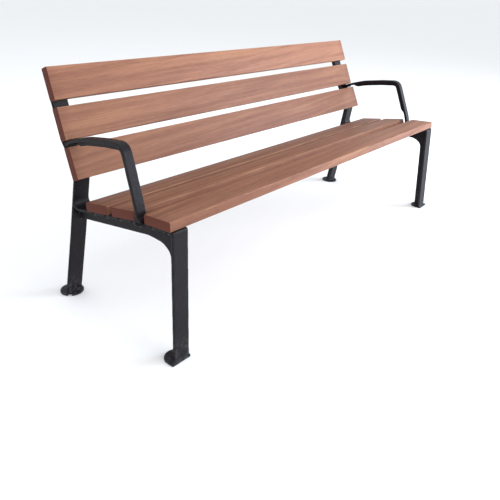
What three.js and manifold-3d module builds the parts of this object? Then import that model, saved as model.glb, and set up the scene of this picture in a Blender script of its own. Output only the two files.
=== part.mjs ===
// Garden bench. Two cast-iron side frames, each with a bolted armrest, carry three seat slats and three back
// slats of wood, held by coach screws. Units are millimetres: +X runs along the bench, the sitter faces -Y and
// +Z is up. While the pieces are made, y = 0 is the front edge of the seat and z = 0 the ground; the last lines
// centre the bench over its origin.

import * as THREE from 'three';
import { mergeVertices } from 'three/addons/utils/BufferGeometryUtils.js';
import Module from 'manifold-3d';

const wasm = await Module();
wasm.setup();

// ---------- Driving dimensions ----------

const FIT_GAP = 0.3; // air left between two pieces that touch
const CLEAR = 10; // how far a cutting body runs past the piece it cuts
const ARC_STEP = THREE.MathUtils.degToRad(14); // longest turn of one straight piece of an arc

// Slats
const SLAT_LENGTH = 1800;
const SLAT_WIDTH = 110;
const SLAT_THICKNESS = 30;
const SLAT_ROUNDING = 4;

// Seat: the side frame's rail falls gently under the front slat, then more steeply to the back
const SEAT_CORNER = [-6, 420.8]; // where the leg's front face and the rail's top face would meet
const SEAT_KINK = [131, 410.8];
const SEAT_FRONT_SLOPE = -4.2; // degrees
const SEAT_REAR_SLOPE = -9.8;
const FRONT_SLAT_INSET = 3.8; // from the seat corner back to the front slat
const MIDDLE_SLAT_SETBACK = 19.3; // from the kink back to the middle slat
const SEAT_SLAT_SPACE = 21; // between the middle and the back slat

// Back: lower corners of the slats' rear faces, and how far each slat stands up from level
const BACK_BOTTOM = [457, 449.7];
const BACK_MIDDLE = [516.4, 568.7];
const BACK_BOTTOM_LEAN = 66; // degrees
const BACK_UPPER_LEAN = 67.5;
const BACK_SLAT_SPACE = 24;
const POST_SHORTFALL = 8; // the post stops this far under the top slat's upper edge

// Side frames: T sections, a wide flange with a web along its middle
const FRAME_X = 864; // middle of the web
const FLANGE_WIDTH = 60;
const FLANGE_THICKNESS = 9;
const WEB_THICKNESS = 9;
const POST_DEPTH = 36; // flange and web together
const REAR_FOOT = [533, 3]; // the legs start inside the thickness of their feet
const REAR_KNEE = [490, 245];
const KNEE_RADIUS = 500;
const POST_BEND_RADIUS = 40;
const BACK_JOG_RADIUS = 25;
const RAIL_END = [473.5, 351.7]; // where the rail's top face runs into the post
const RAIL_END_RADIUS = 22;
const FRONT_FOOT = [-20, 3];
const SEAT_CORNER_RADIUS = 7;

const RAIL_SLOPE_BELOW = -8.6; // degrees, lower edge of the web between its belly and the rear leg
const ARCH_REAR_RADIUS = 20;
// Lower edge of the web from the rail's belly down the back of the front leg: y, z and radius of each corner
const ARCH_FRONT = [
  [129, 360, 120],
  [66, 357.5, 60],
  [30.5, 336, 35],
  [18, 3, 0],
];

// Feet
const FOOT_THICKNESS = 8;
const FRONT_FOOT_WIDTH = 74;
const FRONT_FOOT_X = 871; // its middle stands a little outside the web
const FRONT_FOOT_TOE = -27; // straight front edge
const FRONT_FOOT_CENTRE = -1; // centre of the round heel
const REAR_FOOT_RADIUS = 41;
const REAR_FOOT_CENTRE = 549;
const ANCHOR_SLOT_WIDTH = 13;
const ANCHOR_SLOT_START = 34; // from the foot's centre to the round end's centre
const ANCHOR_SLOT_ANGLE = -45; // degrees from straight out towards the front

// Armrests: a flat cast bar with a boss at each end. The bar splays outwards from the post to the seat.
const ARM_WIDTH = 33;
const ARM_THICKNESS = 12;
const ARM_RIB_WIDTH = 10; // a rib along the middle of the bar's underside stiffens it
const ARM_RIB_DEPTH = 14;
const ARM_RIB_FADE = 46; // it deepens over this length at each end
const ARM_RIB_ENDS = [33, 44]; // bare bar before and after the rib
const ARM_RIB_STEP = 8; // longest straight piece of the rib's edge
const ARM_OUTER_X = 893; // outer edge at the post
const ARM_PIVOT_Y = 495; // the splay turns the bar about an upright line here
const ARM_SPLAY = THREE.MathUtils.degToRad(2.6);
const ARM_RISE_AT_POST = 7; // its upper face lies this far above the middle of the gap between the back slats
// Upper face of the bar from the post forward, then its front face down to the rail: y, z and radius
const ARM_CORNERS = [
  [480, 582, 150],
  [405, 606, 300],
  [300, 624, 400],
  [200, 635, 45],
  [127, 444, 150],
  [124, 414, 0],
];
const ARM_FOOT_X = 893; // middle of the lower boss
const ARM_FOOT_ENDS = [113, 147]; // y of the lower boss's ends on the rail
const ARM_FOOT_TAPER = 7;
const ARM_FOOT_HEIGHT = 15;
const ARM_BOSS_MARGIN = 3.6; // from the slats' corners at the post to the upper boss
const ARM_BOSS_DEPTH = 24;
const ARM_BOSS_RISE = 157; // degrees, the boss runs forward and up between the slats
const LUG_RADIUS = 20; // round lug on the rail that carries the lower boss

// Coach screws for the slats
const SCREW_INSET = 22; // from each long edge of a slat
const SCREW_X = 880; // outside the web
const SHANK_RADIUS = 4;
const SCREW_DEPTH = 20; // in the wood, without the point
const SCREW_POINT = 3;
const SCREW_TIP_RADIUS = 1;
const COLLAR_RADIUS = 8.5;
const COLLAR_THICKNESS = 1.8;
const HEAD_ACROSS = 13; // across the flats
const HEAD_HEIGHT = 5.5;
const SLOT_WIDTH = 9;

// Flange bolts for the armrests, with the coach screws' shank and head
const POST_BOLT_X = 879;
const SEAT_BOLT_X = 892;
const BOLT_DEPTH = 11; // in the armrest, without the chamfer at its end
const BOLT_CHAMFER = 0.7;
const SPOT_FACE_MARGIN = 1;

// ---------- Materials ----------

const wood = { color: 0xb07e68, roughness: 0.55, metalness: 0 };
const castIron = { color: 0x2b2a31, roughness: 0.45, metalness: 0.4 };
const blackSteel = { color: 0x2e2e31, roughness: 0.4, metalness: 0.8 };

function makeMesh(name, geometry, finish) {
  const mesh = new THREE.Mesh(geometry, new THREE.MeshStandardMaterial(finish));
  mesh.name = name;
  return mesh;
}

// ---------- Solids ----------

function toSolid(geometry) {
  const bare = geometry.clone();
  bare.deleteAttribute('normal');
  bare.deleteAttribute('uv');
  const merged = mergeVertices(bare, 1e-3);
  const corners = merged.index.array;
  const triangles = [];
  for (let i = 0; i < corners.length; i += 3) {
    const [a, b, c] = corners.slice(i, i + 3);
    if (a !== b && b !== c && c !== a) triangles.push(a, b, c);
  }
  return new wasm.Manifold(
    new wasm.Mesh({
      numProp: 3,
      vertProperties: new Float32Array(merged.attributes.position.array),
      triVerts: new Uint32Array(triangles),
    }),
  );
}

function toGeometry(solid) {
  const mesh = solid.getMesh();
  const geometry = new THREE.BufferGeometry();
  geometry.setAttribute('position', new THREE.BufferAttribute(mesh.vertProperties, 3));
  geometry.setIndex(new THREE.BufferAttribute(mesh.triVerts, 1));
  geometry.computeVertexNormals();
  return geometry;
}

const joined = (solids) => solids.reduce((whole, solid) => whole.add(solid));
const cut = (solid, cutters) => cutters.reduce((rest, cutter) => rest.subtract(cutter), solid);

// ---------- Lines in the side profile, as points (y, z) ----------

const point = ([y, z]) => new THREE.Vector2(y, z);

function along([y, z], degrees, distance) {
  const angle = THREE.MathUtils.degToRad(degrees);
  return [y + distance * Math.cos(angle), z + distance * Math.sin(angle)];
}

// Where the line through a and b meets the line through c that rises at the given angle
function meet(a, b, c, degrees) {
  const first = point(b).sub(point(a));
  const second = point(along([0, 0], degrees, 1));
  const between = point(c).sub(point(a));
  const distance = between.cross(second) / first.cross(second);
  return [a[0] + first.x * distance, a[1] + first.y * distance];
}

function cornerArc(before, corner, after, radius) {
  const arriving = corner.clone().sub(before).normalize();
  const leaving = after.clone().sub(corner).normalize();
  const turn = Math.atan2(arriving.cross(leaving), arriving.dot(leaving));
  const start = corner.clone().addScaledVector(arriving, -radius * Math.tan(Math.abs(turn) / 2));
  const towardsCentre = new THREE.Vector2(-arriving.y, arriving.x).multiplyScalar(Math.sign(turn) * radius);
  const centre = start.clone().add(towardsCentre);
  const steps = Math.max(2, Math.ceil(Math.abs(turn) / ARC_STEP));
  return Array.from({ length: steps + 1 }, (_, i) => start.clone().rotateAround(centre, (turn * i) / steps));
}

// Joins corners [y, z, radius] with straight lines and rounds each inner corner that has a radius
function roundedLine(corners) {
  const points = corners.map(point);
  return points.flatMap((corner, i) => {
    const radius = corners[i][2];
    const isEnd = i === 0 || i === points.length - 1;
    return isEnd || !radius ? [corner] : cornerArc(points[i - 1], corner, points[i + 1], radius);
  });
}

// The same line moved to its right-hand side
function offsetLine(points, distance) {
  return points.map((here, i) => {
    const before = points[Math.max(i - 1, 0)];
    const after = points[Math.min(i + 1, points.length - 1)];
    const arriving = (i === 0 ? after.clone().sub(here) : here.clone().sub(before)).normalize();
    const leaving = (i === points.length - 1 ? arriving.clone() : after.clone().sub(here)).normalize();
    const middle = arriving.clone().add(leaving).normalize();
    const stretch = distance / middle.dot(arriving);
    return new THREE.Vector2(here.x + middle.y * stretch, here.y - middle.x * stretch);
  });
}

// ---------- Profiles pulled along X ----------

// The profile's (y, z) become the bench's Y and Z, and the depth runs along X from x0 to x1
function acrossX(points, x0, x1) {
  const geometry = new THREE.ExtrudeGeometry(new THREE.Shape(points), { depth: x1 - x0, bevelEnabled: false });
  const turn = new THREE.Matrix4().makeBasis(
    new THREE.Vector3(0, 1, 0),
    new THREE.Vector3(0, 0, 1),
    new THREE.Vector3(1, 0, 0),
  );
  return geometry.applyMatrix4(turn).translate(x0, 0, 0);
}

function band(line, thickness, middleX, width) {
  const outline = [...line, ...offsetLine(line, thickness).reverse()];
  return toSolid(acrossX(outline, middleX - width / 2, middleX + width / 2));
}

// ---------- Where the slats lie ----------

// A slat's corner and angle describe its contact face: seat slats lie on theirs, back slats lean on theirs
const rearSeatStart = along(SEAT_KINK, SEAT_REAR_SLOPE, MIDDLE_SLAT_SETBACK);
const backTop = along(BACK_MIDDLE, BACK_UPPER_LEAN, SLAT_WIDTH + BACK_SLAT_SPACE);
const slats = [
  {
    name: 'seat_slat_front',
    corner: along(SEAT_CORNER, SEAT_FRONT_SLOPE, FRONT_SLAT_INSET),
    angle: SEAT_FRONT_SLOPE,
  },
  { name: 'seat_slat_middle', corner: rearSeatStart, angle: SEAT_REAR_SLOPE },
  {
    name: 'seat_slat_back',
    corner: along(rearSeatStart, SEAT_REAR_SLOPE, SLAT_WIDTH + SEAT_SLAT_SPACE),
    angle: SEAT_REAR_SLOPE,
  },
  { name: 'back_slat_bottom', corner: BACK_BOTTOM, angle: BACK_BOTTOM_LEAN },
  { name: 'back_slat_middle', corner: BACK_MIDDLE, angle: BACK_UPPER_LEAN },
  { name: 'back_slat_top', corner: backTop, angle: BACK_UPPER_LEAN },
];

// Moves a body made beside the origin onto a clamped face: its y runs along the profile, its z off the face
function onFace({ corner: [y, z], angle }) {
  return new THREE.Matrix4()
    .makeTranslation(0, y, z)
    .multiply(new THREE.Matrix4().makeRotationX(THREE.MathUtils.degToRad(angle)));
}

const screwRows = [SCREW_INSET, SLAT_WIDTH - SCREW_INSET];

// ---------- Side frame ----------

const postBend = meet(REAR_KNEE, RAIL_END, BACK_BOTTOM, BACK_BOTTOM_LEAN);
const gapStart = along(BACK_BOTTOM, BACK_BOTTOM_LEAN, SLAT_WIDTH);
const postCorners = [
  [...postBend, POST_BEND_RADIUS],
  [...gapStart, BACK_JOG_RADIUS],
  [...BACK_MIDDLE, BACK_JOG_RADIUS],
  along(backTop, BACK_UPPER_LEAN, SLAT_WIDTH - POST_SHORTFALL),
];
const knee = [...REAR_KNEE, KNEE_RADIUS];
const rearLine = roundedLine([REAR_FOOT, knee, ...postCorners]);
const seatLine = roundedLine([
  FRONT_FOOT,
  [...SEAT_CORNER, SEAT_CORNER_RADIUS],
  SEAT_KINK,
  [...RAIL_END, RAIL_END_RADIUS],
  ...postCorners,
]);
const archCorner = meet(REAR_KNEE, RAIL_END, ARCH_FRONT[0], RAIL_SLOPE_BELOW);
const archLine = roundedLine([REAR_FOOT, knee, [...archCorner, ARCH_REAR_RADIUS], ...ARCH_FRONT]);

function web() {
  const outline = [...seatLine, ...offsetLine(rearLine, POST_DEPTH).reverse(), ...archLine];
  return toSolid(acrossX(outline, FRAME_X - WEB_THICKNESS / 2, FRAME_X + WEB_THICKNESS / 2));
}

// A straight front edge and sides, and a round heel
function frontFoot() {
  const half = FRONT_FOOT_WIDTH / 2;
  const outline = new THREE.Shape();
  outline.moveTo(FRONT_FOOT_X - half, FRONT_FOOT_TOE);
  outline.lineTo(FRONT_FOOT_X + half, FRONT_FOOT_TOE);
  outline.lineTo(FRONT_FOOT_X + half, FRONT_FOOT_CENTRE);
  outline.absarc(FRONT_FOOT_X, FRONT_FOOT_CENTRE, half, 0, Math.PI, false);
  outline.closePath();
  const settings = { depth: FOOT_THICKNESS, bevelEnabled: false, curveSegments: 14 };
  return toSolid(new THREE.ExtrudeGeometry(outline, settings));
}

// A cylinder that stands on the ground plane
function standingCylinder(radius, height, sides) {
  return new THREE.CylinderGeometry(radius, radius, height, sides)
    .rotateX(Math.PI / 2)
    .translate(0, 0, height / 2);
}

// A round end with straight sides that run out along +X, standing on the ground plane
function openSlot(width, height, reach) {
  const end = toSolid(standingCylinder(width / 2, height, 16));
  return end.add(toSolid(new THREE.BoxGeometry(reach, width, height).translate(reach / 2, 0, height / 2)));
}

function placed(solid, matrix) {
  return toSolid(toGeometry(solid).applyMatrix4(matrix));
}

function rearFoot() {
  const disc = standingCylinder(REAR_FOOT_RADIUS, FOOT_THICKNESS, 32).translate(FRAME_X, REAR_FOOT_CENTRE, 0);
  const slot = openSlot(ANCHOR_SLOT_WIDTH, 3 * FOOT_THICKNESS, REAR_FOOT_RADIUS + CLEAR - ANCHOR_SLOT_START);
  const place = new THREE.Matrix4()
    .makeTranslation(FRAME_X, REAR_FOOT_CENTRE, -FOOT_THICKNESS)
    .multiply(new THREE.Matrix4().makeRotationZ(THREE.MathUtils.degToRad(ANCHOR_SLOT_ANGLE)))
    .multiply(new THREE.Matrix4().makeTranslation(ANCHOR_SLOT_START, 0, 0));
  return toSolid(disc).subtract(placed(slot, place));
}

// A round lug that widens the rail's flange under the armrest
function armLug() {
  const wideRail = band(seatLine, FLANGE_THICKNESS, ARM_FOOT_X, 4 * LUG_RADIUS);
  const column = standingCylinder(LUG_RADIUS, 2 * SEAT_KINK[1], 28).translate(SEAT_BOLT_X, SEAT_KINK[0], 0);
  return wideRail.intersect(toSolid(column));
}

// Slots in the flange for the coach screws, open to the outer side
function screwSlots() {
  const reach = FRAME_X + FLANGE_WIDTH / 2 + CLEAR - SCREW_X;
  const slot = openSlot(SLOT_WIDTH, 2 * FLANGE_THICKNESS, reach);
  return slats.flatMap((slat) =>
    screwRows.map((row) => {
      const place = onFace(slat).multiply(
        new THREE.Matrix4().makeTranslation(SCREW_X, row, -1.5 * FLANGE_THICKNESS),
      );
      return placed(slot, place);
    }),
  );
}

// ---------- Armrest ----------

// Both bolts pass through the flange and into a boss, square to the face they clamp
const gapSlope = THREE.MathUtils.radToDeg(point(BACK_MIDDLE).sub(point(gapStart)).angle());
const gapLength = point(BACK_MIDDLE).distanceTo(point(gapStart));
const armBolts = [
  { name: 'post', x: POST_BOLT_X, corner: along(gapStart, gapSlope, gapLength / 2), angle: gapSlope },
  { name: 'seat', x: SEAT_BOLT_X, corner: SEAT_KINK, angle: (SEAT_FRONT_SLOPE + SEAT_REAR_SLOPE) / 2 },
];

function boltHole(bolt, radius, start, length) {
  const hole = standingCylinder(radius, length, 14).translate(bolt.x, 0, start);
  return toSolid(hole.applyMatrix4(onFace(bolt)));
}

const boltThreads = () => armBolts.map((bolt) => boltHole(bolt, SHANK_RADIUS + FIT_GAP, -CLEAR, BOLT_DEPTH + CLEAR + 1));

// A clearance hole through the flange, and a flat spot face under it for the bolt's collar
const boltClearances = () =>
  armBolts.flatMap((bolt) => [
    boltHole(bolt, SHANK_RADIUS + FIT_GAP, -FLANGE_THICKNESS - CLEAR, FLANGE_THICKNESS + 2 * CLEAR),
    boltHole(bolt, COLLAR_RADIUS + SPOT_FACE_MARGIN, -FLANGE_THICKNESS - CLEAR, CLEAR),
  ]);

const boss = (points, middleX) => toSolid(acrossX(points, middleX - ARM_WIDTH / 2, middleX + ARM_WIDTH / 2));

function upperBoss() {
  const lift = FIT_GAP + 0.2;
  const low = along(along(gapStart, gapSlope, ARM_BOSS_MARGIN), gapSlope + 90, lift);
  const high = along(along(gapStart, gapSlope, gapLength - ARM_BOSS_MARGIN), gapSlope + 90, lift);
  const ends = [low, along(low, ARM_BOSS_RISE, ARM_BOSS_DEPTH), along(high, ARM_BOSS_RISE, ARM_BOSS_DEPTH), high];
  return boss(ends.map(point), ARM_OUTER_X - ARM_WIDTH / 2);
}

function lowerBoss() {
  const [front, rear] = ARM_FOOT_ENDS;
  const onFrontStretch = along(SEAT_KINK, SEAT_FRONT_SLOPE, front - SEAT_KINK[0]);
  const onRearStretch = along(SEAT_KINK, SEAT_REAR_SLOPE, rear - SEAT_KINK[0]);
  const sole = [onFrontStretch, SEAT_KINK, onRearStretch].map(([y, z]) => [y, z + 2 * FIT_GAP]);
  const top = [
    [rear - ARM_FOOT_TAPER, onRearStretch[1] + ARM_FOOT_HEIGHT],
    [front + ARM_FOOT_TAPER, onFrontStretch[1] + ARM_FOOT_HEIGHT],
  ];
  return boss([...sole, ...top].map(point), ARM_FOOT_X);
}

// Adds points so that no straight piece is longer than the given step
function divided(points, step) {
  return points.flatMap((here, i) => {
    if (i === 0) return [here];
    const before = points[i - 1];
    const count = Math.ceil(before.distanceTo(here) / step);
    return Array.from({ length: count }, (_, k) => before.clone().lerp(here, (k + 1) / count));
  });
}

// A rib under the bar that fades out before both ends. It starts inside the bar's thickness.
function armRib(line) {
  const upper = divided(line, ARM_RIB_STEP);
  const travelled = [0];
  upper.slice(1).forEach((here, i) => travelled.push(travelled[i] + here.distanceTo(upper[i])));
  const total = travelled[travelled.length - 1];
  const inner = offsetLine(upper, -ARM_THICKNESS / 2);
  const outer = offsetLine(upper, -ARM_THICKNESS - ARM_RIB_DEPTH);
  const lower = inner.map((start, i) => {
    const fromEnd = Math.min(travelled[i] - ARM_RIB_ENDS[0], total - travelled[i] - ARM_RIB_ENDS[1]);
    return start.clone().lerp(outer[i], THREE.MathUtils.smoothstep(fromEnd, 0, ARM_RIB_FADE));
  });
  const present = upper.map((_, i) => lower[i].distanceTo(inner[i]) > 0);
  const first = present.indexOf(true) - 1;
  const last = present.lastIndexOf(true) + 2;
  const outline = [...inner.slice(first, last), ...lower.slice(first + 1, last - 1).reverse()];
  const middle = -ARM_WIDTH / 2;
  return toSolid(acrossX(outline, middle - ARM_RIB_WIDTH / 2, middle + ARM_RIB_WIDTH / 2));
}

function armrest() {
  const atPost = along(armBolts[0].corner, gapSlope, ARM_RISE_AT_POST);
  const line = roundedLine([along(atPost, ARM_BOSS_RISE, ARM_THICKNESS / 2), ...ARM_CORNERS]);
  const bar = band(line, -ARM_THICKNESS, -ARM_WIDTH / 2, ARM_WIDTH).add(armRib(line));
  const splay = new THREE.Matrix4()
    .makeTranslation(ARM_OUTER_X, ARM_PIVOT_Y, 0)
    .multiply(new THREE.Matrix4().makeRotationZ(ARM_SPLAY))
    .multiply(new THREE.Matrix4().makeTranslation(0, -ARM_PIVOT_Y, 0));
  return cut(joined([placed(bar, splay), upperBoss(), lowerBoss()]), boltThreads());
}

// ---------- Wood ----------

function slatSection() {
  const middle = SLAT_WIDTH / 2;
  const low = FIT_GAP;
  const high = FIT_GAP + SLAT_THICKNESS;
  const corners = [
    [middle, low],
    [SLAT_WIDTH, low, SLAT_ROUNDING],
    [SLAT_WIDTH, high, SLAT_ROUNDING],
    [0, high, SLAT_ROUNDING],
    [0, low, SLAT_ROUNDING],
    [middle, low],
  ];
  return roundedLine(corners).slice(1);
}

function slatBody() {
  const plank = toSolid(acrossX(slatSection(), -SLAT_LENGTH / 2, SLAT_LENGTH / 2));
  const depth = SCREW_DEPTH + SCREW_POINT + 1;
  const holes = [-SCREW_X, SCREW_X].flatMap((x) =>
    screwRows.map((row) =>
      toSolid(standingCylinder(SHANK_RADIUS + FIT_GAP, depth + CLEAR, 12).translate(x, row, -CLEAR)),
    ),
  );
  return cut(plank, holes);
}

// ---------- Fasteners ----------

// The shank rises through the clamped face at z = 0, and the collar and hexagon hang under the flange
function fastener(depth, tipRadius, tipLength) {
  const seat = -FLANGE_THICKNESS - FIT_GAP;
  const profile = [
    [0, seat - COLLAR_THICKNESS],
    [COLLAR_RADIUS, seat - COLLAR_THICKNESS],
    [COLLAR_RADIUS, seat],
    [SHANK_RADIUS, seat],
    [SHANK_RADIUS, depth],
    [tipRadius, depth + tipLength],
    [0, depth + tipLength],
  ];
  const turned = new THREE.LatheGeometry(profile.map(point), 12).rotateX(Math.PI / 2);
  const overlap = COLLAR_THICKNESS / 2;
  const hexagon = standingCylinder(HEAD_ACROSS / Math.sqrt(3), HEAD_HEIGHT + overlap, 6);
  hexagon.translate(0, 0, seat - COLLAR_THICKNESS - HEAD_HEIGHT);
  return toGeometry(toSolid(turned).add(toSolid(hexagon)));
}

// ---------- Assembly ----------

const bench = new THREE.Group();
const sides = [
  { name: 'left', sign: -1 },
  { name: 'right', sign: 1 },
];

function placedGroup(matrix, mesh) {
  const group = new THREE.Group();
  group.add(mesh);
  group.applyMatrix4(matrix);
  return group;
}

// The castings are drawn for the +X side and mirrored for the other
function forSide(geometry, sign) {
  const copy = geometry.clone();
  if (sign > 0) return copy;
  copy.scale(-1, 1, 1);
  const corners = copy.index.array;
  for (let i = 0; i < corners.length; i += 3) {
    [corners[i], corners[i + 1]] = [corners[i + 1], corners[i]];
  }
  copy.computeVertexNormals();
  return copy;
}

const frameBodies = [
  band(seatLine, FLANGE_THICKNESS, FRAME_X, FLANGE_WIDTH),
  band(rearLine, FLANGE_THICKNESS, FRAME_X, FLANGE_WIDTH),
  web(),
  armLug(),
  frontFoot(),
  rearFoot(),
];
const frameGeometry = toGeometry(cut(joined(frameBodies), [...screwSlots(), ...boltClearances()]));
const armrestGeometry = toGeometry(armrest());
const boltGeometry = fastener(BOLT_DEPTH - BOLT_CHAMFER, SHANK_RADIUS - BOLT_CHAMFER, BOLT_CHAMFER);
for (const side of sides) {
  bench.add(makeMesh(`side_frame_${side.name}`, forSide(frameGeometry, side.sign), castIron));
  bench.add(makeMesh(`armrest_${side.name}`, forSide(armrestGeometry, side.sign), castIron));
  for (const bolt of armBolts) {
    const mesh = makeMesh(`armrest_bolt_${bolt.name}_${side.name}`, boltGeometry.clone(), blackSteel);
    mesh.position.x = side.sign * bolt.x;
    bench.add(placedGroup(onFace(bolt), mesh));
  }
}

const slatGeometry = toGeometry(slatBody());
const screwGeometry = fastener(SCREW_DEPTH, SCREW_TIP_RADIUS, SCREW_POINT);
for (const slat of slats) {
  const group = placedGroup(onFace(slat), makeMesh(slat.name, slatGeometry.clone(), wood));
  for (const side of sides) {
    screwRows.forEach((row, i) => {
      const name = `${slat.name.replace('slat', 'screw')}_${side.name}_${i + 1}`;
      const screw = makeMesh(name, screwGeometry.clone(), blackSteel);
      screw.position.set(side.sign * SCREW_X, row, 0);
      group.add(screw);
    });
  }
  bench.add(group);
}

const extent = new THREE.Box3().setFromObject(bench, true);
bench.position.y = -(extent.min.y + extent.max.y) / 2;

export default bench;
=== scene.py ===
"""Garden bench: finished pieces round the packed CAD model, laid out as a Blender add-on and run as a script.

Two cast-iron side frames with bolted armrests carry three seat slats and three back slats of oiled hardwood.
Lengths are metres. +X runs along the bench, the sitter faces -Y and +Z is up.
"""

import math

import bmesh
import bpy
from mathutils import Matrix, Vector


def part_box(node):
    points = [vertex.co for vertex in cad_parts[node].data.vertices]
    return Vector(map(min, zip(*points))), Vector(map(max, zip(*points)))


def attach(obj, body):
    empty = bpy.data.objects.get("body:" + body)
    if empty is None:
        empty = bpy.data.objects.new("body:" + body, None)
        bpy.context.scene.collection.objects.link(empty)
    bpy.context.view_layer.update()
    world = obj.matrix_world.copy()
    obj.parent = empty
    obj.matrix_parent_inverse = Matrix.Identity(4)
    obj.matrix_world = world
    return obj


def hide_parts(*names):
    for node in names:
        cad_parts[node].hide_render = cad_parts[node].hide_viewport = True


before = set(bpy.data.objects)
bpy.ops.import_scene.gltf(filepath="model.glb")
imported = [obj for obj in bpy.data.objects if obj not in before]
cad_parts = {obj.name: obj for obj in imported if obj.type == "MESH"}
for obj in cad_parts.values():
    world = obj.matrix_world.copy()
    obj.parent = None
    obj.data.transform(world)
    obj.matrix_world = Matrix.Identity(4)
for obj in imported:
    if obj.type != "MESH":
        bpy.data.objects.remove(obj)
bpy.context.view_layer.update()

bl_info = {
    "name": "Garden Bench",
    "version": (1, 0, 0),
    "blender": (4, 5, 0),
    "location": "3D View > Sidebar > Bench",
    "description": "Builds a garden bench with cast-iron side frames and hardwood slats",
    "category": "Add Mesh",
}

SIDES = ("left", "right")
BOLTS = ("post", "seat")
SLATS = (
    "seat_slat_front",
    "seat_slat_middle",
    "seat_slat_back",
    "back_slat_bottom",
    "back_slat_middle",
    "back_slat_top",
)
# Brightness of each slat: partly its own colour, partly painted shade that darkens the seat slats towards the
# back under the back slats, and painted light on the top back slat
SLAT_TONES_AND_PAINTED_SHADE = (0.93, 0.85, 0.75, 0.88, 0.91, 1.03)  # brightness of each slat, in the same order

# Slats
ROUNDING_SEGMENTS = 5
EASING_SEGMENTS = 2
PLANK_SMOOTHING = math.radians(35)
END_NEARNESS = 1e-5  # an edge this near a slat's end belongs to it

# Castings
MERGE_DISTANCE = 1e-5  # corners nearer than this are one corner

# Hexagon fasteners
COLLAR_SIDES = 32
SHANK_SIDES = 20
HEAD_EASING = 0.0008
COLLAR_EASING = 0.0005
SCREW_POINT = 0.0025
BOLT_CHAMFER = 0.0007
PART_OVERLAP = 0.0005  # head, collar and shank reach this far into each other
FASTENER_SMOOTHING = math.radians(28)
POST_BOLT_TILT = math.radians(51.6)
SAME_HEIGHT = 1e-7  # corners that differ less than this in Z are level

# Wood pattern: repeats per metre along the slat and across it, and how much each layer counts
BAND_RATES, BAND_SHARE = (0.7, 55.0), 0.42
FINE_BAND_RATES, FINE_BAND_SHARE = (3.5, 300.0), 0.28
FIBRE_RATES, FIBRE_SHARE = (26.0, 620.0), 0.30
PORE_RATES = (60.0, 1150.0)
RIBBON_RATES = (2.2, 9.0)
RIBBON_SKEW = 16.0
SHIMMER_RATES = (9.0, 45.0)
SHIMMER_SKEW = 60.0
END_GRAIN_RATES = (420.0, 150.0)
END_SOAK = 0.05  # the wood darkens over this length towards its ends
SEED_STEP = 3.7

# Cast skin: repeats per metre
LUMP_RATE = 70.0
GRIT_RATE = 480.0
CLOUD_RATE = 14.0
RUB_RATE = 45.0
# Pale bluish grey near the ground, partly dust and partly painted sky reflection on the feet: rate of its
# noise and the height it reaches
DUST_AND_SHEEN_RATE = 90.0
DUST_AND_SHEEN_HEIGHT = 0.11

# Steel skin: repeats per metre
MARK_RATE = 900.0
STAIN_RATE = 160.0

FLOOR_RATE = 1.5

# Lights: name, size, power, colour and place. All of them shine at the middle of the bench.
LIGHT_TARGET = (0.0, 0.0, 0.4)
LIGHTS = (
    ("Front light", 3.5, 118.0, (1.0, 0.96, 0.90), (0.6, -4.2, 3.4)),
    ("Top light", 4.0, 40.0, (0.95, 0.97, 1.0), (-0.5, 0.4, 4.5)),
    ("Side sheen", 2.5, 300.0, (0.74, 0.84, 1.0), (3.6, -3.3, 1.5)),
)
SENSOR_WIDTH = 36.0


# ---------- Settings ----------


class BENCH_PG_wood(bpy.types.PropertyGroup):
    """Sizes, lean and colours of the slats."""

    length: bpy.props.FloatProperty(
        name="Length", description="Length of every slat", default=1.8, unit="LENGTH"
    )
    width: bpy.props.FloatProperty(
        name="Width", description="Width of every slat", default=0.110, unit="LENGTH"
    )
    thickness: bpy.props.FloatProperty(
        name="Thickness", description="Thickness of every slat", default=0.030, unit="LENGTH"
    )
    rounding: bpy.props.FloatProperty(
        name="Rounding", description="Radius of the long edges", default=0.004, unit="LENGTH"
    )
    end_easing: bpy.props.FloatProperty(
        name="End easing", description="Small chamfer round the sawn ends", default=0.0012, unit="LENGTH"
    )
    seat_front_slope: bpy.props.FloatProperty(
        name="Front seat slope",
        description="Tilt of the front seat slat",
        default=math.radians(-4.2),
        subtype="ANGLE",
    )
    seat_rear_slope: bpy.props.FloatProperty(
        name="Rear seat slope",
        description="Tilt of the other two seat slats",
        default=math.radians(-9.8),
        subtype="ANGLE",
    )
    back_bottom_lean: bpy.props.FloatProperty(
        name="Lower back lean",
        description="Tilt of the lowest back slat",
        default=math.radians(66.0),
        subtype="ANGLE",
    )
    back_upper_lean: bpy.props.FloatProperty(
        name="Upper back lean",
        description="Tilt of the two upper back slats",
        default=math.radians(67.5),
        subtype="ANGLE",
    )
    light_colour: bpy.props.FloatVectorProperty(
        name="Light grain",
        description="Pale bands of the wood",
        default=(0.345, 0.162, 0.096),
        subtype="COLOR",
    )
    deep_colour: bpy.props.FloatVectorProperty(
        name="Deep grain",
        description="Reddish bands of the wood",
        default=(0.170, 0.068, 0.044),
        subtype="COLOR",
    )
    golden_colour: bpy.props.FloatVectorProperty(
        name="Golden ribbon",
        description="Bright ribbons between the dark ones",
        default=(0.42, 0.215, 0.11),
        subtype="COLOR",
    )
    pore_colour: bpy.props.FloatVectorProperty(
        name="Pores", description="Short dark pores", default=(0.07, 0.026, 0.016), subtype="COLOR"
    )
    rubbed_colour: bpy.props.FloatVectorProperty(
        name="Rubbed edges", description="Pale rubbed long edges", default=(0.52, 0.29, 0.17), subtype="COLOR"
    )
    end_colour: bpy.props.FloatVectorProperty(
        name="End grain", description="Dark oil-soaked ends", default=(0.098, 0.031, 0.021), subtype="COLOR"
    )


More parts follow.
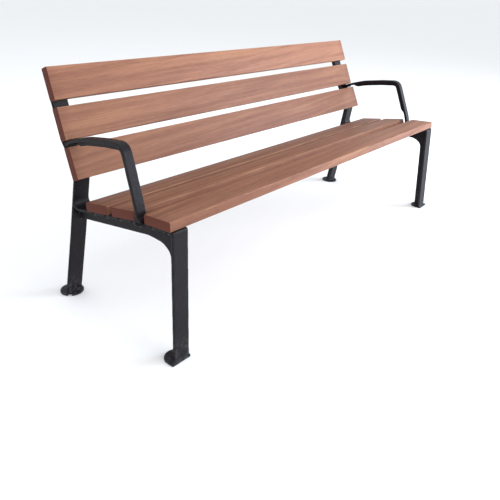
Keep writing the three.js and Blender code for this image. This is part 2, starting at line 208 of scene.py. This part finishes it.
class BENCH_PG_casting(bpy.types.PropertyGroup):
    """How soft the castings' edges are and how they are painted."""

    frame_detail: bpy.props.FloatProperty(
        name="Frame detail", description="Cell size of a side frame's skin", default=0.0022, unit="LENGTH"
    )
    arm_detail: bpy.props.FloatProperty(
        name="Armrest detail", description="Cell size of an armrest's skin", default=0.0014, unit="LENGTH"
    )
    softening: bpy.props.IntProperty(
        name="Softening", description="Passes that round edges and fill inner corners", default=7, min=0
    )
    paint_colour: bpy.props.FloatVectorProperty(
        name="Paint", description="Near-black paint", default=(0.0058, 0.0042, 0.0058), subtype="COLOR"
    )
    worn_colour: bpy.props.FloatVectorProperty(
        name="Worn edges",
        description="Paint rubbed thin on the edges",
        default=(0.045, 0.047, 0.056),
        subtype="COLOR",
    )
    # Pale bluish grey near the ground: partly dust, partly painted sky reflection on the feet
    dust_and_sheen_colour: bpy.props.FloatVectorProperty(
        name="Dust", description="Pale dust near the ground", default=(0.085, 0.085, 0.095), subtype="COLOR"
    )


class BENCH_PG_fastener(bpy.types.PropertyGroup):
    """Sizes of the coach screws and the armrest bolts."""

    screw_x: bpy.props.FloatProperty(
        name="Screw distance",
        description="Coach screws from the bench's middle",
        default=0.880,
        unit="LENGTH",
    )
    edge_inset: bpy.props.FloatProperty(
        name="Edge inset", description="Coach screws from a slat's long edge", default=0.022, unit="LENGTH"
    )
    flange: bpy.props.FloatProperty(
        name="Flange", description="Cast flange between head and slat", default=0.009, unit="LENGTH"
    )
    fit_gap: bpy.props.FloatProperty(
        name="Fit gap", description="Air between two pieces that touch", default=0.0003, unit="LENGTH"
    )
    shank_radius: bpy.props.FloatProperty(
        name="Shank radius", description="Radius of the shank", default=0.004, unit="LENGTH"
    )
    collar_radius: bpy.props.FloatProperty(
        name="Collar radius", description="Radius of the collar under the head", default=0.0085, unit="LENGTH"
    )
    collar_thickness: bpy.props.FloatProperty(
        name="Collar thickness", description="Thickness of the collar", default=0.0018, unit="LENGTH"
    )
    across_flats: bpy.props.FloatProperty(
        name="Across flats", description="Hexagon head across its flats", default=0.013, unit="LENGTH"
    )
    head_height: bpy.props.FloatProperty(
        name="Head height", description="Height of the hexagon", default=0.0055, unit="LENGTH"
    )
    screw_depth: bpy.props.FloatProperty(
        name="Screw depth",
        description="Coach screw in the wood, with its point",
        default=0.023,
        unit="LENGTH",
    )
    bolt_depth: bpy.props.FloatProperty(
        name="Bolt depth", description="Bolt in the armrest", default=0.011, unit="LENGTH"
    )
    steel_colour: bpy.props.FloatVectorProperty(
        name="Steel", description="Blackened steel", default=(0.030, 0.030, 0.034), subtype="COLOR"
    )


class BENCH_PG_stage(bpy.types.PropertyGroup):
    """Floor, light and camera."""

    floor_size: bpy.props.FloatProperty(
        name="Floor size", description="Width of the floor", default=400.0, unit="LENGTH"
    )
    floor_colour: bpy.props.FloatVectorProperty(
        name="Floor", description="Pale floor", default=(0.90, 0.90, 0.90), subtype="COLOR"
    )
    sky_colour: bpy.props.FloatVectorProperty(
        name="Sky", description="Soft light from all round", default=(0.94, 0.97, 1.0), subtype="COLOR"
    )
    sky_strength: bpy.props.FloatProperty(
        name="Sky strength", description="Brightness of the light from all round", default=1.0, min=0.0
    )
    camera_place: bpy.props.FloatVectorProperty(
        name="Camera",
        description="Where the camera stands",
        default=(-1.8817, -1.3723, 1.1008),
        subtype="TRANSLATION",
    )
    camera_heading: bpy.props.FloatProperty(
        name="Heading",
        description="Turn of the view from +X towards +Y",
        default=math.radians(38.644),
        subtype="ANGLE",
    )
    camera_dip: bpy.props.FloatProperty(
        name="Dip",
        description="How far the camera looks down",
        default=math.radians(16.713),
        subtype="ANGLE",
    )
    camera_roll: bpy.props.FloatProperty(
        name="Roll",
        description="Turn of the camera about its own view",
        default=math.radians(2.955),
        subtype="ANGLE",
    )
    lens: bpy.props.FloatProperty(
        name="Lens", description="Focal length in millimetres on a 36 mm sensor", default=40.872
    )
    shift_x: bpy.props.FloatProperty(name="Shift X", description="Sideways lens shift", default=-0.0071)
    shift_y: bpy.props.FloatProperty(name="Shift Y", description="Upright lens shift", default=-0.1987)


# ---------- Node materials ----------


class Value:
    """One output socket that can be used in ordinary arithmetic."""

    def __init__(self, finish, socket):
        self.finish = finish
        self.socket = socket

    def __add__(self, other):
        return self.finish.maths("ADD", self, other)

    __radd__ = __add__

    def __mul__(self, other):
        return self.finish.maths("MULTIPLY", self, other)

    __rmul__ = __mul__

    def __sub__(self, other):
        return self.finish.maths("SUBTRACT", self, other)

    def __rsub__(self, other):
        return self.finish.maths("SUBTRACT", other, self)

    def __abs__(self):
        return self.finish.maths("ABSOLUTE", self)

    def clamped(self, low, high):
        """0 below low, 1 above high and smooth between."""
        settings = {"interpolation_type": "SMOOTHSTEP"}
        inputs = {"Value": self, "From Min": low, "From Max": high}
        return self.finish.node("ShaderNodeMapRange", settings, inputs)


class Finish:
    """A material under construction."""

    def __init__(self, name):
        self.material = bpy.data.materials.new(name)
        self.material.use_nodes = True
        self.tree = self.material.node_tree
        self.shader = self.tree.nodes["Principled BSDF"]

    def node(self, kind, settings=None, inputs=None, output=0):
        """Adds a node, sets it up, then fills its inputs with numbers, colours or other values."""
        node = self.tree.nodes.new(kind)
        for key, setting in (settings or {}).items():
            setattr(node, key, setting)
        for key, given in (inputs or {}).items():
            self.fill(node.inputs[key], given)
        return Value(self, node.outputs[output])

    def fill(self, socket, given):
        if isinstance(given, Value):
            self.tree.links.new(given.socket, socket)
        else:
            socket.default_value = given

    def maths(self, operation, *values):
        return self.node("ShaderNodeMath", {"operation": operation}, dict(enumerate(values)))

    def blend(self, factor, first, second, mode="MIX"):
        """Mixes two colours; the Mix node's colour sockets are its seventh and eighth."""
        settings = {"data_type": "RGBA", "blend_type": mode}
        colours = [value if isinstance(value, Value) else (*value, 1.0) for value in (first, second)]
        return self.node("ShaderNodeMix", settings, {0: factor, 6: colours[0], 7: colours[1]}, output=2)

    def place(self, centre=(0, 0, 0), tilt=0.0):
        """Coordinates of the piece itself, measured from its centre and along its own faces."""
        here = self.node("ShaderNodeTexCoord", output="Object")
        inputs = {"Vector": here, "Location": centre, "Rotation": (tilt, 0.0, 0.0)}
        return self.node("ShaderNodeMapping", {"vector_type": "TEXTURE"}, inputs)

    def parts(self, vector):
        node = self.tree.nodes.new("ShaderNodeSeparateXYZ")
        self.fill(node.inputs[0], vector)
        return [Value(self, output) for output in node.outputs]

    def vector(self, x, y, z):
        return self.node("ShaderNodeCombineXYZ", inputs={"X": x, "Y": y, "Z": z})

    def noise(self, vector, scale=1.0, detail=3.0, roughness=0.55, distortion=0.0):
        inputs = {
            "Vector": vector,
            "Scale": scale,
            "Detail": detail,
            "Roughness": roughness,
            "Distortion": distortion,
        }
        return self.node("ShaderNodeTexNoise", inputs=inputs)

    def bump(self, height, strength, distance, below=None):
        inputs = {"Height": height, "Strength": strength, "Distance": distance}
        if below is not None:
            inputs["Normal"] = below
        return self.node("ShaderNodeBump", inputs=inputs)

    def set(self, **sockets):
        """Fills the shader's own sockets; an underscore in a name stands for a space."""
        for name, given in sockets.items():
            self.fill(self.shader.inputs[name.replace("_", " ")], given)


def shade(colour, share):
    """The same colour, darker or brighter by a share."""
    return tuple(share * channel for channel in colour)


def wood_finish(name, centre, tilt, tone_and_shade, seed):
    """Oiled hardwood, with fibres along the slat, growth bands, pores, rubbed edges and dark sawn ends.

    The brightness factor lightens or darkens the whole slat, partly for its own colour and partly as painted
    shade on the rear seat slats and painted light on the top back slat; seed moves the pattern so that no two
    slats are alike.
    """
    wood = bpy.context.scene.bench_wood
    finish = Finish(name)
    x, y, z = finish.parts(finish.place(centre, tilt))

    # Growth bands run nearly straight, a little askew to the slat's edges, and wander along it
    wander = finish.noise(finish.vector(x * 1.4 + seed, seed, 0.0), detail=2.0) - 0.5
    skew = 0.035 + 0.025 * math.sin(2.3 * seed)
    across = y + z * 0.6 - x * skew + wander * 0.045
    along_rate, across_rate = BAND_RATES
    bands = finish.noise(
        finish.vector(x * along_rate + seed, across * across_rate, seed), detail=5.0, roughness=0.62
    )
    along_rate, across_rate = FINE_BAND_RATES
    fine_bands = finish.noise(
        finish.vector(x * along_rate, across * across_rate, seed), detail=4.0, roughness=0.6
    )
    along_rate, across_rate = FIBRE_RATES
    fibres = finish.noise(
        finish.vector(x * along_rate, y * across_rate - x * 9.0, z * across_rate + seed), detail=3.0
    )
    along_rate, across_rate = PORE_RATES
    pores = finish.noise(
        finish.vector(x * along_rate + seed, y * across_rate, z * across_rate), detail=1.0
    ).clamped(0.66, 0.76)

    # Ribbons of interlocked grain cross the slat at a low angle
    along_rate, across_rate = RIBBON_RATES
    ribbon = finish.noise(
        finish.vector(x * along_rate - y * RIBBON_SKEW + seed, y * across_rate + x * 0.5, z * across_rate),
        detail=4.0,
    )
    along_rate, across_rate = SHIMMER_RATES
    shimmer = finish.noise(
        finish.vector(x * along_rate - y * SHIMMER_SKEW, y * across_rate + seed, z * across_rate), detail=3.0
    )

    depth = (
        bands.clamped(0.36, 0.66) * BAND_SHARE
        + fine_bands.clamped(0.3, 0.7) * FINE_BAND_SHARE
        + fibres.clamped(0.3, 0.7) * FIBRE_SHARE
    )
    colour = finish.blend(depth, wood.light_colour, wood.deep_colour)
    colour = finish.blend(ribbon.clamped(0.55, 0.72) * 0.34, colour, shade(wood.deep_colour, 0.62))
    colour = finish.blend((1.0 - ribbon.clamped(0.30, 0.46)) * 0.28, colour, wood.golden_colour)
    colour = finish.blend(shimmer.clamped(0.45, 0.75) * 0.22, colour, wood.deep_colour)
    colour = finish.blend(pores * 0.40, colour, wood.pore_colour)
    # Painted shade and light: the whole slat is scaled by its brightness factor, darker on the rear seat
    # slats and brighter on the top back slat
    colour = finish.blend(1.0, colour, (tone_and_shade, tone_and_shade, tone_and_shade), mode="MULTIPLY")

    # Rubbed long edges are a little paler, and the sawn ends drink oil and go dark
    half_length, half_width, half_thickness = wood.length / 2, wood.width / 2, wood.thickness / 2
    edge_y = abs(y).clamped(half_width - 1.3 * wood.rounding, half_width)
    edge_z = abs(z).clamped(half_thickness - wood.rounding, half_thickness)
    rubbed = edge_y * edge_z * finish.noise(finish.vector(x * 9.0, seed, 0.0)).clamped(0.35, 0.65)
    colour = finish.blend(rubbed * 0.5, colour, wood.rubbed_colour)
    end = abs(x).clamped(half_length - 0.0016, half_length - 0.0004)
    across_rate, deep_rate = END_GRAIN_RATES
    end_rings = finish.noise(finish.vector(across * across_rate, z * deep_rate, seed), detail=3.0)
    end_tone = finish.blend(end_rings, shade(wood.end_colour, 0.75), shade(wood.end_colour, 1.5))
    near_end = abs(x).clamped(half_length - END_SOAK, half_length)
    colour = finish.blend(near_end * 0.22, colour, wood.end_colour)
    colour = finish.blend(end, colour, end_tone)

    grain = finish.bump(fibres * 0.5 + fine_bands * 0.5, 0.35, 0.0005)
    relief = finish.bump(1.0 - pores, 0.35, 0.0004, grain)
    sheen = 0.50 + bands * 0.14 + pores * 0.15 + end * 0.25
    finish.set(Base_Color=colour, Roughness=sheen, Normal=relief, IOR=1.48, Specular_IOR_Level=0.20)
    return finish.material


def paint_finish(name, seed):
    """Near-black paint over a cast skin, with lumps and grit, thin on the edges, and pale near the ground
    from dust and painted sky reflection.
    """
    casting = bpy.context.scene.bench_casting
    finish = Finish(name)
    here = finish.place((seed, 0.0, 0.0))
    height = finish.parts(here)[2]
    lumps = finish.noise(here, LUMP_RATE)
    grit = finish.noise(here, GRIT_RATE, roughness=0.6)
    cloud = finish.noise(here, CLOUD_RATE)
    edge = finish.node("ShaderNodeNewGeometry", output="Pointiness").clamped(0.515, 0.58)
    worn = edge * finish.noise(here, RUB_RATE, detail=4.0).clamped(0.42, 0.62)
    # Dust and painted reflection: the lowest part of each casting is blended towards a pale bluish grey,
    # partly dust and partly painted sky reflection on the feet
    low = 1.0 - height.clamped(0.0, DUST_AND_SHEEN_HEIGHT)
    dust_and_sheen = low * finish.noise(here, DUST_AND_SHEEN_RATE, detail=5.0, roughness=0.7).clamped(0.42, 0.68)

    colour = finish.blend(cloud.clamped(0.35, 0.7), casting.paint_colour, shade(casting.paint_colour, 1.5))
    colour = finish.blend(worn * 0.7, colour, casting.worn_colour)
    colour = finish.blend(dust_and_sheen * 0.55, colour, casting.dust_and_sheen_colour)
    skin = finish.bump(lumps, 0.70, 0.0018)
    relief = finish.bump(grit, 0.35, 0.0006, skin)
    sheen = 0.36 + cloud * 0.14 + grit * 0.10 + dust_and_sheen * 0.25
    finish.set(Base_Color=colour, Roughness=sheen, Normal=relief, IOR=1.5, Specular_IOR_Level=0.16)
    return finish.material


def steel_finish(name):
    """Blackened steel with faint turning marks and duller, darker stains."""
    fastener = bpy.context.scene.bench_fastener
    finish = Finish(name)
    here = finish.place()
    marks = finish.noise(here, MARK_RATE, detail=2.0)
    stain = finish.noise(here, STAIN_RATE, detail=4.0).clamped(0.45, 0.7)
    colour = finish.blend(stain * 0.6, fastener.steel_colour, shade(fastener.steel_colour, 0.45))
    relief = finish.bump(marks, 0.25, 0.0002)
    finish.set(Base_Color=colour, Metallic=0.8 - stain * 0.35, Roughness=0.34 + stain * 0.25, Normal=relief)
    return finish.material


def floor_finish(name):
    """Pale seamless floor, very slightly cloudy."""
    stage = bpy.context.scene.bench_stage
    finish = Finish(name)
    clouds = finish.noise(finish.place(), FLOOR_RATE, detail=2.0)
    colour = finish.blend(clouds, stage.floor_colour, shade(stage.floor_colour, 0.985))
    finish.set(Base_Color=colour, Roughness=0.9)
    return finish.material


# ---------- Modelling ----------


def work_on(piece):
    """Selects one piece and nothing else."""
    bpy.ops.object.select_all(action="DESELECT")
    piece.select_set(True)
    bpy.context.view_layer.objects.active = piece


def added(name):
    """The primitive just added, under the name of a piece."""
    piece = bpy.context.object
    piece.name = name
    piece.data.name = name
    return piece


def start_clean():
    bpy.ops.object.select_all(action="DESELECT")


def settle():
    """Writes the active object's place, turn and scale into its mesh."""
    bpy.ops.object.transform_apply(location=True, rotation=True, scale=True)


def select_edges(piece, wanted):
    """In edit mode, selects the edges for which wanted(start, end) is true."""
    bpy.ops.mesh.select_all(action="DESELECT")
    bpy.ops.mesh.select_mode(type="EDGE")
    mesh = bmesh.from_edit_mesh(piece.data)
    for edge in mesh.edges:
        start, end = (corner.co for corner in edge.verts)
        edge.select_set(wanted(start, end))
    bmesh.update_edit_mesh(piece.data)


def apply_modifier(piece, kind, **settings):
    modifier = piece.modifiers.new(kind.title(), kind)
    for key, setting in settings.items():
        setattr(modifier, key, setting)
    work_on(piece)
    bpy.ops.object.modifier_apply(modifier=modifier.name)


def copied(pattern, name, matrix):
    """A copy with its own mesh, moved to its place in the bench."""
    piece = pattern.copy()
    piece.data = pattern.data.copy()
    piece.name = name
    piece.data.name = name
    bpy.context.scene.collection.objects.link(piece)
    piece.data.transform(matrix)
    return piece


def finish_piece(piece, material, node):
    """Gives a piece its material and its place in the object."""
    piece.data.materials.clear()
    piece.data.materials.append(material)
    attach(piece, "root")
    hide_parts(node)


def discard(piece):
    bpy.data.meshes.remove(piece.data)


def middle_of(node):
    low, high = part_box(node)
    return (low + high) / 2


def slat_tilt(name):
    wood = bpy.context.scene.bench_wood
    if name == "seat_slat_front":
        return wood.seat_front_slope
    if name.startswith("seat"):
        return wood.seat_rear_slope
    if name == "back_slat_bottom":
        return wood.back_bottom_lean
    return wood.back_upper_lean


def slat_matrix(name):
    """From a slat that lies flat round the origin to its place in the bench."""
    return Matrix.Translation(middle_of(name)) @ Matrix.Rotation(slat_tilt(name), 4, "X")


def plank():
    """A slat that lies flat round the origin, with round long edges and eased ends."""
    wood = bpy.context.scene.bench_wood
    start_clean()
    bpy.ops.mesh.primitive_cube_add(size=1.0, scale=(wood.length, wood.width, wood.thickness))
    piece = added("plank")
    settle()
    half = wood.length / 2
    bpy.ops.object.mode_set(mode="EDIT")
    select_edges(piece, lambda start, end: abs(start.x - end.x) > half)
    bpy.ops.mesh.bevel(offset=wood.rounding, segments=ROUNDING_SEGMENTS, affect="EDGES")
    select_edges(piece, lambda start, end: abs(start.x + end.x) > wood.length - END_NEARNESS)
    bpy.ops.mesh.bevel(offset=wood.end_easing, segments=EASING_SEGMENTS, affect="EDGES")
    bpy.ops.object.mode_set(mode="OBJECT")
    work_on(piece)
    bpy.ops.object.shade_smooth_by_angle(angle=PLANK_SMOOTHING)
    return piece


def casting(node, detail):
    """A casting with soft edges and filled inner corners, skinned over the CAD solid of the same name."""
    settings = bpy.context.scene.bench_casting
    piece = bpy.data.objects.new("casting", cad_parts[node].data.copy())
    bpy.context.scene.collection.objects.link(piece)
    work_on(piece)
    bpy.ops.object.mode_set(mode="EDIT")
    bpy.ops.mesh.select_all(action="SELECT")
    bpy.ops.mesh.remove_doubles(threshold=MERGE_DISTANCE)
    bpy.ops.object.mode_set(mode="OBJECT")
    apply_modifier(piece, "REMESH", mode="VOXEL", voxel_size=detail)
    apply_modifier(piece, "SMOOTH", factor=0.5, iterations=settings.softening)
    bpy.ops.object.shade_smooth()
    return piece


def fastener_part(sides, radius, bottom, top, easing, ends):
    """An upright prism or cylinder from bottom to top, with the chosen ends' edges eased."""
    bpy.ops.mesh.primitive_cylinder_add(
        vertices=sides, radius=radius, depth=top - bottom, location=(0, 0, (top + bottom) / 2)
    )
    piece = added("fastener_part")
    settle()
    bpy.ops.object.mode_set(mode="EDIT")

    def on_an_end(start, end):
        return any(abs(start.z - z) < SAME_HEIGHT and abs(end.z - z) < SAME_HEIGHT for z in ends)

    select_edges(piece, on_an_end)
    bpy.ops.mesh.bevel(offset=easing, segments=EASING_SEGMENTS, affect="EDGES")
    bpy.ops.object.mode_set(mode="OBJECT")
    return piece


def hexagon_fastener(depth, easing):
    """A hexagon head and collar under the flange, with its shank up through the face at z = 0."""
    sizes = bpy.context.scene.bench_fastener
    seat = -sizes.flange - sizes.fit_gap
    collar_low = seat - sizes.collar_thickness
    head_low = collar_low - sizes.head_height
    corner_radius = sizes.across_flats / math.sqrt(3)
    start_clean()
    head = fastener_part(6, corner_radius, head_low, collar_low + PART_OVERLAP, HEAD_EASING, [head_low])
    collar = fastener_part(
        COLLAR_SIDES, sizes.collar_radius, collar_low, seat, COLLAR_EASING, [collar_low, seat]
    )
    shank = fastener_part(SHANK_SIDES, sizes.shank_radius, seat - PART_OVERLAP, depth, easing, [depth])
    bpy.ops.object.select_all(action="DESELECT")
    for piece in (head, collar, shank):
        piece.select_set(True)
    bpy.context.view_layer.objects.active = head
    bpy.ops.object.join()
    work_on(head)
    bpy.ops.object.shade_smooth_by_angle(angle=FASTENER_SMOOTHING)
    return head


# ---------- Operators ----------


class BENCH_OT_slats(bpy.types.Operator):
    """Six oiled hardwood slats"""

    bl_idname = "bench.slats"
    bl_label = "Slats"

    def execute(self, context):
        pattern = plank()
        for number, (name, tone_and_shade) in enumerate(zip(SLATS, SLAT_TONES_AND_PAINTED_SHADE), start=1):
            piece = copied(pattern, name + "_plank", slat_matrix(name))
            seed = SEED_STEP * number
            material = wood_finish("wood_" + name, middle_of(name), slat_tilt(name), tone_and_shade, seed)
            finish_piece(piece, material, name)
        discard(pattern)
        return {"FINISHED"}


class BENCH_OT_side_frames(bpy.types.Operator):
    """Two cast side frames with their legs, posts and feet"""

    bl_idname = "bench.side_frames"
    bl_label = "Side frames"

    def execute(self, context):
        detail = context.scene.bench_casting.frame_detail
        for i, side in enumerate(SIDES):
            node = "side_frame_" + side
            piece = casting(node, detail)
            piece.name = piece.data.name = node + "_cast"
            finish_piece(piece, paint_finish("paint_" + node, 1.3 * i), node)
        return {"FINISHED"}


class BENCH_OT_armrests(bpy.types.Operator):
    """Two cast armrests"""

    bl_idname = "bench.armrests"
    bl_label = "Armrests"

    def execute(self, context):
        detail = context.scene.bench_casting.arm_detail
        for i, side in enumerate(SIDES):
            node = "armrest_" + side
            piece = casting(node, detail)
            piece.name = piece.data.name = node + "_cast"
            finish_piece(piece, paint_finish("paint_" + node, 4.1 + 1.7 * i), node)
        return {"FINISHED"}


class BENCH_OT_coach_screws(bpy.types.Operator):
    """Twenty-four coach screws, four in each slat"""

    bl_idname = "bench.coach_screws"
    bl_label = "Coach screws"

    def execute(self, context):
        wood, sizes = context.scene.bench_wood, context.scene.bench_fastener
        pattern = hexagon_fastener(sizes.screw_depth, SCREW_POINT)
        steel = steel_finish("black_steel_screws")
        row = wood.width / 2 - sizes.edge_inset
        drop = -wood.thickness / 2 - sizes.fit_gap
        for slat in SLATS:
            for side in SIDES:
                x = sizes.screw_x if side == "right" else -sizes.screw_x
                for number, y in enumerate((-row, row), start=1):
                    node = f"{slat.replace('slat', 'screw')}_{side}_{number}"
                    place = slat_matrix(slat) @ Matrix.Translation((x, y, drop))
                    piece = copied(pattern, node + "_steel", place)
                    finish_piece(piece, steel, node)
        discard(pattern)
        return {"FINISHED"}


class BENCH_OT_armrest_bolts(bpy.types.Operator):
    """Four bolts that hold the armrests to the side frames"""

    bl_idname = "bench.armrest_bolts"
    bl_label = "Armrest bolts"

    def execute(self, context):
        sizes, wood = context.scene.bench_fastener, context.scene.bench_wood
        pattern = hexagon_fastener(sizes.bolt_depth, BOLT_CHAMFER)
        steel = steel_finish("black_steel_bolts")
        seat_tilt = (wood.seat_front_slope + wood.seat_rear_slope) / 2
        heights = [corner.co.z for corner in pattern.data.vertices]
        centring = Matrix.Translation((0, 0, -(min(heights) + max(heights)) / 2))
        for side in SIDES:
            for bolt, tilt in zip(BOLTS, (POST_BOLT_TILT, seat_tilt)):
                node = f"armrest_bolt_{bolt}_{side}"
                place = Matrix.Translation(middle_of(node)) @ Matrix.Rotation(tilt, 4, "X") @ centring
                piece = copied(pattern, node + "_steel", place)
                finish_piece(piece, steel, node)
        discard(pattern)
        return {"FINISHED"}


def soft_light(name, size, power, colour, place):
    """A square lamp that shines at the middle of the bench and isn't seen itself."""
    start_clean()
    bpy.ops.object.light_add(type="AREA", location=place)
    lamp = bpy.context.object
    lamp.name = name
    lamp.data.size = size
    lamp.data.energy = power
    lamp.data.color = colour
    lamp.visible_camera = False
    lamp.rotation_euler = (Vector(LIGHT_TARGET) - Vector(place)).to_track_quat("-Z", "Y").to_euler()


class BENCH_OT_stage(bpy.types.Operator):
    """Pale floor, soft light and the camera"""

    bl_idname = "bench.stage"
    bl_label = "Stage"

    def execute(self, context):
        stage = context.scene.bench_stage
        start_clean()
        bpy.ops.mesh.primitive_plane_add(size=stage.floor_size)
        floor = added("floor")
        floor.data.materials.append(floor_finish("pale_floor"))

        world = bpy.data.worlds.new("Open sky")
        world.use_nodes = True
        sky = world.node_tree.nodes["Background"]
        sky.inputs["Color"].default_value = (*stage.sky_colour, 1.0)
        sky.inputs["Strength"].default_value = stage.sky_strength
        context.scene.world = world

        for light in LIGHTS:
            soft_light(*light)

        bpy.ops.object.camera_add(location=stage.camera_place)
        camera = context.object
        camera.name = "Camera"
        turn = Matrix.Rotation(stage.camera_heading - math.pi / 2, 4, "Z")
        dip = Matrix.Rotation(math.pi / 2 - stage.camera_dip, 4, "X")
        roll = Matrix.Rotation(stage.camera_roll, 4, "Z")
        camera.rotation_euler = (turn @ dip @ roll).to_euler()
        camera.data.sensor_width = SENSOR_WIDTH
        camera.data.lens = stage.lens
        camera.data.shift_x = stage.shift_x
        camera.data.shift_y = stage.shift_y
        context.scene.camera = camera
        context.scene.view_settings.view_transform = "Standard"
        return {"FINISHED"}


# ---------- Panel ----------


class BENCH_PT_panel(bpy.types.Panel):
    """Lists the pieces of the bench"""

    bl_idname = "BENCH_PT_panel"
    bl_label = "Garden Bench"
    bl_space_type = "VIEW_3D"
    bl_region_type = "UI"
    bl_category = "Bench"

    def draw(self, context):
        for operator in OPERATORS:
            self.layout.operator(operator.bl_idname)
        for group, attribute in SETTINGS.items():
            box = self.layout.box()
            box.label(text=group.__doc__)
            for name in group.__annotations__:
                box.prop(getattr(context.scene, attribute), name)


SETTINGS = {
    BENCH_PG_wood: "bench_wood",
    BENCH_PG_casting: "bench_casting",
    BENCH_PG_fastener: "bench_fastener",
    BENCH_PG_stage: "bench_stage",
}
OPERATORS = (
    BENCH_OT_slats,
    BENCH_OT_side_frames,
    BENCH_OT_armrests,
    BENCH_OT_coach_screws,
    BENCH_OT_armrest_bolts,
    BENCH_OT_stage,
)


def register():
    for group, attribute in SETTINGS.items():
        bpy.utils.register_class(group)
        setattr(bpy.types.Scene, attribute, bpy.props.PointerProperty(type=group))
    for operator in (*OPERATORS, BENCH_PT_panel):
        bpy.utils.register_class(operator)


def unregister():
    for operator in (BENCH_PT_panel, *reversed(OPERATORS)):
        bpy.utils.unregister_class(operator)
    for group, attribute in reversed(SETTINGS.items()):
        delattr(bpy.types.Scene, attribute)
        bpy.utils.unregister_class(group)


def main():
    register()
    bpy.ops.bench.slats()
    bpy.ops.bench.side_frames()
    bpy.ops.bench.armrests()
    bpy.ops.bench.coach_screws()
    bpy.ops.bench.armrest_bolts()
    bpy.ops.bench.stage()


if __name__ == "__main__":
    main()
